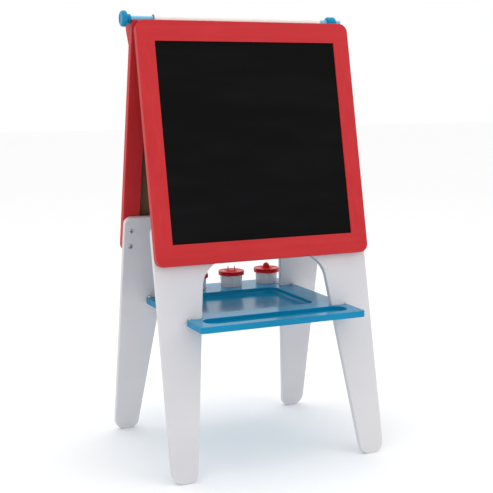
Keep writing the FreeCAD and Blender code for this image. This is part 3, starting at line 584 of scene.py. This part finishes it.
def seat_fasteners(node, out, head_height, shape, body, material, slot):
    """Put one shape on the axis of each solid of a node, its head looking along out."""
    group = bmesh.new()
    turn = out.to_track_quat("Z", "X").to_matrix().to_4x4()
    for corners in solids_of(node):
        top = max(corner.dot(out) for corner in corners)
        ring = [corner for corner in corners if top - corner.dot(out) < 0.01 * MM]
        centre = sum(ring, Vector()) / len(ring)
        join(group, moved(shape(), Matrix.Translation(centre - out * head_height * MM) @ turn))
    return make_piece(node + "_turned", group, material, body, slot, node)


BOLT_HEAD, SCREW_HEAD, STOP_HEAD = 3.0, 1.6, 6.0


def leg_bolt():
    return fastener(head_radius=6.0, head_height=BOLT_HEAD, shank_radius=3.0, length=27.0,
                    outline=polygon_outline(sides=6, radius=2.6), socket_radius=3.8, depth=1.9)


def wood_screw(length):
    return fastener(head_radius=3.4, head_height=SCREW_HEAD, shank_radius=1.75, length=length,
                    outline=cross_outline(reach=1.7, half=0.45), socket_radius=2.3, depth=1.0)


def hinge_screw():
    return wood_screw(length=13.8)


def bracket_screw():
    return wood_screw(length=29.8)


def tray_pin():
    return fastener(head_radius=3.5, head_height=STOP_HEAD, shank_radius=2.5, length=15.3,
                    outline=cross_outline(reach=1.5, half=0.4), socket_radius=2.1, depth=1.2)


for side in ("front", "rear"):
    body = side + "_frame"
    seat_fasteners(side + "_leg_bolts", -OUT[side], BOLT_HEAD, leg_bolt, body, steel, "steel")
    seat_fasteners(side + "_hinge_screws", -OUT[side], SCREW_HEAD, hinge_screw, body, steel, "steel")
seat_fasteners("bracket_screws", -OUT["rear"], SCREW_HEAD, bracket_screw, "rear_frame", red_stile,
               "painted_steel")
seat_fasteners("tray_stops", Vector((0, 0, 1)), STOP_HEAD, tray_pin, "tray", steel, "steel")


# %% [markdown]
# ## The turning knob and the collar
# The knob is what a child grips to wind the paper on. It is a moulded cap with a narrower neck, shallow
# finger flutes round its rim and a dished end. The lathe makes its body, and the flutes are pressed in by
# moving the rim's points towards the axis on a smooth wave. The collar at the other end keeps the roll
# from sliding off.

# %% Turn the knob and the collar
def axis_piece(node):
    """The middle of a CAD piece that is round about the roll's axis, and its half sizes in millimetres."""
    low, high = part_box(node)
    return (low + high) / 2, (high - low) / 2 / MM


def lay_along_x(bm, start, toward):
    """Turn a lathe shape so that its axis runs along X from a point."""
    turn = Matrix.Rotation(math.radians(90 * toward), 4, "Y")
    return moved(bm, Matrix.Translation(start) @ turn)


def press_flutes(bm, count, depth, rim, low, high):
    """Press shallow hollows into a rim between two heights, in millimetres."""
    for vertex in bm.verts:
        radius = math.hypot(vertex.co.x, vertex.co.y) / MM
        height = vertex.co.z / MM
        if radius < rim or not low <= height <= high:
            continue
        wave = max(0.0, math.cos(count * math.atan2(vertex.co.y, vertex.co.x)))
        share = 1 - depth * wave / radius
        vertex.co.x *= share
        vertex.co.y *= share


bore = axis_piece("roll_dowel")[1].z + 0.1
knob_middle, knob_half = axis_piece("turning_knob")
KNOB_RADIUS, KNOB_LENGTH = knob_half.y, 2 * knob_half.x
NECK_RADIUS, NECK_LENGTH = 11.5, 11.0
CAP, RIM_ROUND, SHOULDER_ROUND, NECK_ROUND, DISH_RADIUS = 5.0, 6.0, 2.0, 1.5, 11.5
knob = lathe(
    [(0, KNOB_LENGTH - CAP), (bore, KNOB_LENGTH - CAP), (bore, 0)]
    + arc((NECK_RADIUS - NECK_ROUND, NECK_ROUND), NECK_ROUND, -90, 0)
    + arc((NECK_RADIUS + 1.0, NECK_LENGTH - 1), 1.0, 180, 90)
    + arc((KNOB_RADIUS - SHOULDER_ROUND, NECK_LENGTH + SHOULDER_ROUND), SHOULDER_ROUND, -90, 0)
    + [(KNOB_RADIUS, NECK_LENGTH + 4), (KNOB_RADIUS, NECK_LENGTH + 6)]
    + arc((KNOB_RADIUS - RIM_ROUND, KNOB_LENGTH - RIM_ROUND), RIM_ROUND, 0, 90, 10)
    + [(DISH_RADIUS, KNOB_LENGTH), (DISH_RADIUS - 0.9, KNOB_LENGTH - 0.5),
       (DISH_RADIUS - 2, KNOB_LENGTH - 1.2), (5, KNOB_LENGTH - 1.5), (0, KNOB_LENGTH - 1.6)], steps=96)
press_flutes(knob, count=12, depth=0.7, rim=16.5, low=NECK_LENGTH + 0.5, high=KNOB_LENGTH - 1.5)
knob_start = knob_middle + Vector((knob_half.x * MM, 0, 0))
make_piece("fluted_turning_knob", lay_along_x(knob, knob_start, -1), knob_blue, "roller", "knob_blue",
           "turning_knob")

collar_middle, collar_half = axis_piece("roll_collar")
COLLAR_RADIUS, COLLAR_LENGTH = collar_half.y, 2 * collar_half.x
collar = lathe(
    [(bore, COLLAR_LENGTH), (bore, 0), (COLLAR_RADIUS - RIM_ROUND, 0)]
    + arc((COLLAR_RADIUS - RIM_ROUND, RIM_ROUND), RIM_ROUND, -90, 0, 8)
    + [(COLLAR_RADIUS, COLLAR_LENGTH / 2)]
    + arc((COLLAR_RADIUS - RIM_ROUND, COLLAR_LENGTH - RIM_ROUND), RIM_ROUND, 0, 90, 8)
    + [(bore + 1.2, COLLAR_LENGTH), (bore, COLLAR_LENGTH)], steps=80)
collar_start = collar_middle - Vector((collar_half.x * MM, 0, 0))
make_piece("rounded_roll_collar", lay_along_x(collar, collar_start, 1), knob_blue, "roller", "knob_blue",
           "roll_collar")


# %% [markdown]
# ## The paper roll
# A wound roll shows its layers at the ends as fine steps, because no roll is wound perfectly, and its last
# turn ends in a free edge that lifts slightly. The steps are ridges in the lathe line. The last turn is a
# strip: a line of points on a slow spiral, extruded along the roll and given the thickness of paper.

# %% Wind the paper
roll_middle, roll_half = axis_piece("paper_roll")
ROLL_RADIUS, ROLL_LENGTH = roll_half.y, 2 * roll_half.x
CORE_RADIUS = axis_piece("roll_core")[1].z
WOUND_RADIUS = ROLL_RADIUS - 0.35
LAYERS, ROLL_SIDES = 9, 72
PAPER_THICK = 0.16
FREE_EDGE, FREE_LIFT = 0.14, 0.9


def layered_end(height, inward):
    """Points across the roll's end, stepping in and out a little at each layer."""
    points = []
    for layer in range(LAYERS + 1):
        radius = CORE_RADIUS + (WOUND_RADIUS - CORE_RADIUS) * layer / LAYERS
        step_in = 0.25 * (1 + math.sin(layer * 2.3)) * inward
        points += [(radius, height + step_in), (radius + 0.12, height + step_in * 0.3)]
    return points[:-1]


near_end, far_end = layered_end(0, 1), layered_end(ROLL_LENGTH, -1)
wound = lathe(near_end + far_end[::-1] + [(CORE_RADIUS, 0)], ROLL_SIDES)
bmesh.ops.remove_doubles(wound, verts=wound.verts, dist=0.02 * MM)
bmesh.ops.recalc_face_normals(wound, faces=wound.faces)
roll_start = roll_middle - Vector((roll_half.x * MM, 0, 0))
make_piece("wound_paper_roll", lay_along_x(wound, roll_start, 1), paper_white, "roller", "paper",
           "paper_roll")


def last_turn():
    """The roll's outer turn, whose free edge lifts at the back."""
    strip = bmesh.new()
    line = []
    for step in range(ROLL_SIDES + 1):
        share = step / ROLL_SIDES
        angle = math.radians(200 + 350 * share)
        lift = 0.10 + FREE_LIFT * max(0.0, share - (1 - FREE_EDGE)) / FREE_EDGE
        radius = (WOUND_RADIUS + lift) * MM
        line.append(strip.verts.new((0, radius * math.cos(angle), radius * math.sin(angle))))
    edges = [strip.edges.new(pair) for pair in zip(line, line[1:])]
    across = bmesh.ops.extrude_edge_only(strip, edges=edges)["geom"]
    moved = [item for item in across if isinstance(item, bmesh.types.BMVert)]
    bmesh.ops.translate(strip, verts=moved, vec=((ROLL_LENGTH - 1.0) * MM, 0, 0))
    bmesh.ops.solidify(strip, geom=strip.faces[:], thickness=PAPER_THICK * MM)
    bmesh.ops.recalc_face_normals(strip, faces=strip.faces)
    bmesh.ops.translate(strip, verts=strip.verts, vec=roll_start + Vector((0.5 * MM, 0, 0)))
    return strip


make_piece("outer_paper_turn", last_turn(), paper_white, "roller", "paper")


# %% [markdown]
# ## The paint cups
# Each cup is a thin milky plastic pot with a foot, a slightly flared wall and a rolled rim, closed by a
# red lid with a ribbed skirt, a small pull tab and a stopper with two finger ears. Milky plastic lets
# light through without being clear, so its finish is partly see-through, a little less so at the rim,
# where the wall is thick.

# %% Milky plastic
cup_low, cup_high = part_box("paint_cup_1")
CUP_HEIGHT = (cup_high.z - cup_low.z) / MM
CUP_RADIUS = (cup_high.x - cup_low.x) / 2 / MM


def milky_plastic():
    material, shader, place = start_finish("milky_cup_plastic")
    broad = cloud(place, 40.0, 3)
    height = place.add("ShaderNodeSeparateXYZ", None, {"Vector": place}, "Z")
    share = (height - cup_low.z) * (1 / (CUP_HEIGHT * MM))
    rim = ramp(share, [(0.02, 1.0), (0.12, 0.0), (0.86, 0.0), (0.97, 1.0)])
    colour = blend_colour(broad, tone(226, 224, 228), tone(240, 239, 242))
    return finish_with(material, shader,
                       {"Base Color": colour, "Alpha": 0.5 + rim * 0.35 + broad * 0.12,
                        "Roughness": 0.18 + broad * 0.12, "Normal": relief(broad, 0.0003, 0.2)},
                       {"IOR": 1.49})


milky = milky_plastic()
print("milky plastic ready")


# %% [markdown]
# The cup, the lid and the stopper are lathe shapes too. The lid's tab and the stopper's two ears are all
# round discs with softened rims, so one function makes them: the tab's disc is drawn out into an oval, and
# the ears' discs stand on edge and are cut off level where they meet the stopper.

# %% Cup, lid and stopper shapes
def soft_disc(radius, thick, sides, rounding, stretch=(1, 1, 1)):
    """A disc from z = 0 upwards, in millimetres, with both its rims rounded."""
    disc = bmesh.new()
    bmesh.ops.create_circle(disc, cap_ends=True, segments=sides, radius=radius * MM)
    bmesh.ops.scale(disc, verts=disc.verts, vec=stretch)
    top = bmesh.ops.extrude_face_region(disc, geom=disc.faces[:])["geom"]
    raised = [item for item in top if isinstance(item, bmesh.types.BMVert)]
    bmesh.ops.translate(disc, verts=raised, vec=(0, 0, thick * MM))
    bmesh.ops.recalc_face_normals(disc, faces=disc.faces)
    rims = [edge for edge in disc.edges if abs(edge.verts[0].co.z - edge.verts[1].co.z) < 0.001 * MM]
    bmesh.ops.bevel(disc, geom=rims, offset=rounding * MM, offset_type="OFFSET", segments=3, profile=0.5,
                    affect="EDGES", material=-1)
    return disc


def cup_shape():
    """The cup from the middle of its foot out to its rolled rim, and down again inside."""
    foot, wall, top = CUP_RADIUS - 3.0, 1.3, CUP_HEIGHT
    return lathe(
        [(0, 1.0), (foot - 5, 1.0), (foot - 4.2, 0.2), (foot - 3.4, 0)]
        + arc((foot - 2.0, 2.0), 2.0, -90, -8)
        + [(CUP_RADIUS - 1.0, top * 0.72), (CUP_RADIUS - 0.5, top * 0.76), (CUP_RADIUS - 0.3, top - 1.2)]
        + arc((CUP_RADIUS - 0.7, top - 0.7), 0.7, 0, 180, 6)
        + [(CUP_RADIUS - 0.5 - wall, top * 0.76), (CUP_RADIUS - 1.0 - wall, top * 0.7)]
        + arc((foot - wall - 3.0, wall + 3.6), 3.0, 0, -90) + [(0, wall + 0.6)], steps=72)


lid_low, lid_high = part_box("cup_lid_1")
LID_HEIGHT = (lid_high.z - lid_low.z) / MM
LID_RADIUS = (lid_high.y - (cup_low.y + cup_high.y) / 2) / MM
LID_PLATE, LID_HOLE, LID_MOAT = 3.0, 10.0, 16.6
TAB_REACH = 4.0


def lid_shape():
    """The lid with its top ring at z = 0 and its ribbed skirt below it."""
    inside = CUP_RADIUS + 0.3
    lid = lathe(
        [(LID_HOLE, -LID_PLATE), (inside, -LID_PLATE), (inside, -LID_HEIGHT + 0.4),
         (inside + 0.4, -LID_HEIGHT)]
        + arc((LID_RADIUS - 0.6, -LID_HEIGHT + 0.6), 0.6, -90, 0, 3)
        + [(LID_RADIUS, -1.9), (LID_RADIUS, -1.3)]
        + arc((LID_RADIUS - 1.2, -1.2), 1.2, 0, 90, 5)
        + [(LID_RADIUS - 2.6, -0.1), (LID_RADIUS - 3.4, -0.9)]
        + [(LID_MOAT + 1.8, -1.1), (LID_MOAT + 0.8, -0.6), (LID_MOAT, 0)]
        + [(LID_HOLE + 0.3, 0), (LID_HOLE, -0.3), (LID_HOLE, -LID_PLATE)], steps=144)
    press_flutes(lid, count=48, depth=0.45, rim=LID_RADIUS - 0.3, low=-LID_HEIGHT + 0.5, high=-1.8)
    tab = soft_disc(TAB_REACH, LID_PLATE, sides=32, rounding=0.7, stretch=(0.85, 1.35, 1))
    tab_place = Matrix.Translation((0, -LID_RADIUS * MM, -LID_HEIGHT * MM))
    return join(lid, moved(tab, tab_place))


FLANGE = 15.5
PLUG_DEPTH, PLUG_ROUND = 7.0, 0.8
EAR_HALF, EAR_THICK, EAR_PLACE, EAR_FOOT = 9.0, 2.5, 9.0, 1.0


def stopper_shape(ear_top):
    """The stopper with its flange on z = 0, its plug below and two rounded ears above."""
    plug_floor = PLUG_ROUND - PLUG_DEPTH
    stopper = lathe(
        [(0, plug_floor), (8.2, plug_floor), (8.6, -PLUG_DEPTH)]
        + arc((LID_HOLE - 0.3 - PLUG_ROUND, plug_floor), PLUG_ROUND, -90, 0, 3)
        + [(LID_HOLE - 0.3, -0.4), (LID_HOLE - 0.3, 0), (FLANGE - 0.5, 0)]
        + arc((FLANGE - 0.7, 0.7), 0.7, -90, 0, 3)
        + arc((FLANGE - 1.0, 1.0), 1.0, 0, 90, 4)
        + [(FLANGE - 2.4, 1.9), (FLANGE - 3.2, 1.3), (0, 1.1)], steps=72)
    on_edge = Matrix.Rotation(math.pi / 2, 4, "Y")
    for sign in (-1, 1):
        across = sign * EAR_PLACE - EAR_THICK / 2
        place = Matrix.Translation((across * MM, 0, (ear_top - EAR_HALF) * MM))
        ear = moved(soft_disc(EAR_HALF, EAR_THICK, sides=48, rounding=0.8), place @ on_edge)
        cut = ear.verts[:] + ear.edges[:] + ear.faces[:]
        bmesh.ops.bisect_plane(ear, geom=cut, plane_co=(0, 0, EAR_FOOT * MM), plane_no=(0, 0, -1),
                               clear_outer=True)
        bmesh.ops.holes_fill(ear, edges=[edge for edge in ear.edges if edge.is_boundary], sides=0)
        join(stopper, ear)
    return stopper


# %% Stand the cups in their seats
def lid_turn(number, centre):
    """How far a lid is turned on its cup, read from where its tab points."""
    arms = [vertex.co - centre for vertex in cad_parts[f"cup_lid_{number}"].data.vertices]
    far = max(arms, key=lambda arm: math.hypot(arm.x, arm.y))
    return math.atan2(far.x, -far.y)


def stopper_turn(number, centre):
    """How far a stopper is turned, read from the tops of its two ears."""
    corners = [vertex.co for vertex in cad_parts[f"cup_stopper_{number}"].data.vertices]
    top = max(corner.z for corner in corners)
    ears = [corner - centre for corner in corners if top - corner.z < 0.1 * MM]
    twice = (sum(2 * ear.x * ear.y for ear in ears), sum(ear.x ** 2 - ear.y ** 2 for ear in ears))
    return math.atan2(*twice) / 2


def stand_at(centre, height, turn=0.0):
    """The matrix that stands a piece on a cup's axis at this height, turned about the axis."""
    return Matrix.Translation((centre.x, centre.y, height)) @ Matrix.Rotation(turn, 4, "Z")


CUPS = sum(node.startswith("paint_cup_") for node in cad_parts)
for number in range(1, CUPS + 1):
    low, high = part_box(f"paint_cup_{number}")
    centre = Vector(((low.x + high.x) / 2, (low.y + high.y) / 2, 0))
    cup = moved(cup_shape(), stand_at(centre, low.z))
    make_piece(f"milky_cup_{number}", cup, milky, f"pot_{number}", "cup_plastic", f"paint_cup_{number}")
    lid_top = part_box(f"cup_lid_{number}")[1].z
    lid = moved(lid_shape(), stand_at(centre, lid_top, lid_turn(number, centre)))
    make_piece(f"ribbed_lid_{number}", lid, lid_red, f"lid_{number}", "lid_red", f"cup_lid_{number}")
    ear_top = (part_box(f"cup_stopper_{number}")[1].z - lid_top) / MM
    stopper = moved(stopper_shape(ear_top), stand_at(centre, lid_top, stopper_turn(number, centre)))
    make_piece(f"eared_stopper_{number}", stopper, lid_red, f"stopper_{number}", "lid_red",
               f"cup_stopper_{number}")


# %% [markdown]
# ## Floor, light and camera
# A plain product view wants even, soft light from a large source and a floor that melts into the
# background, so the floor is a plain pale sheet, the world is nearly white, and large area lamps give the
# faces their small differences in brightness.

# %% Floor and lights
FLOOR_HALF = 20.0


def pale_floor():
    bm = bmesh.new()
    bmesh.ops.create_grid(bm, x_segments=1, y_segments=1, size=FLOOR_HALF)
    mesh = bpy.data.meshes.new("studio_floor")
    bm.to_mesh(mesh)
    bm.free()
    floor = bpy.data.objects.new("studio_floor", mesh)
    scene.collection.objects.link(floor)
    material, shader, place = start_finish("studio_floor")
    speckle = blend_colour(cloud(place, 2.0, 2), (0.96, 0.96, 0.96, 1), (0.98, 0.98, 0.98, 1))
    finish_with(material, shader, {"Base Color": speckle}, {"Roughness": 0.9, "Specular IOR Level": 0.1})
    mesh.materials.append(material)


def soft_lamp(name, place, aim, size, power):
    data = bpy.data.lights.new(name, "AREA")
    data.size = size
    data.energy = power
    lamp = bpy.data.objects.new(name, data)
    lamp.location = place
    lamp.rotation_euler = (Vector(aim) - Vector(place)).to_track_quat("-Z", "Y").to_euler()
    scene.collection.objects.link(lamp)


pale_floor()
soft_lamp("key_lamp", place=(2.2, -2.4, 2.6), aim=(0, 0, 0.6), size=2.4, power=9)
soft_lamp("fill_lamp", place=(-2.8, -1.6, 2.2), aim=(0, 0, 0.6), size=2.4, power=4)
soft_lamp("top_lamp", place=(0.0, 0.2, 3.6), aim=(0, 0, 0.4), size=2.6, power=22)
scene.world = bpy.data.worlds.new("studio")
scene.world.use_nodes = True
background = scene.world.node_tree.nodes["Background"]
background.inputs["Color"].default_value = (1, 1, 1, 1)
background.inputs["Strength"].default_value = 1.0
scene.view_settings.view_transform = "Standard"

# %% [markdown]
# The camera stands to the left of the chalkboard, a little below the top of the easel, with a long lens,
# and looks slightly down. Its place is given from the middle of the front board.

# %% Camera
CAMERA_OFFSET = Vector((-1.0992, -2.4489, 0.9352))
YAW, PITCH, ROLL = math.radians(24.36), math.radians(8.71), math.radians(-0.27)
LENS, SENSOR_WIDTH = 75.98, 36
board_low, board_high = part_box("front_top_rail")
camera_data = bpy.data.cameras.new("studio_camera")
camera_data.lens = LENS
camera_data.sensor_width = SENSOR_WIDTH
camera = bpy.data.objects.new("studio_camera", camera_data)
camera.location = CAMERA_OFFSET + Vector(((board_low.x + board_high.x) / 2, 0, 0))
camera.rotation_euler = (Matrix.Rotation(-YAW, 3, "Z") @ Matrix.Rotation(math.pi / 2 - PITCH, 3, "X")
                         @ Matrix.Rotation(ROLL, 3, "Z")).to_euler()
scene.collection.objects.link(camera)
scene.camera = camera
print("camera at", [round(value, 3) for value in camera.location])
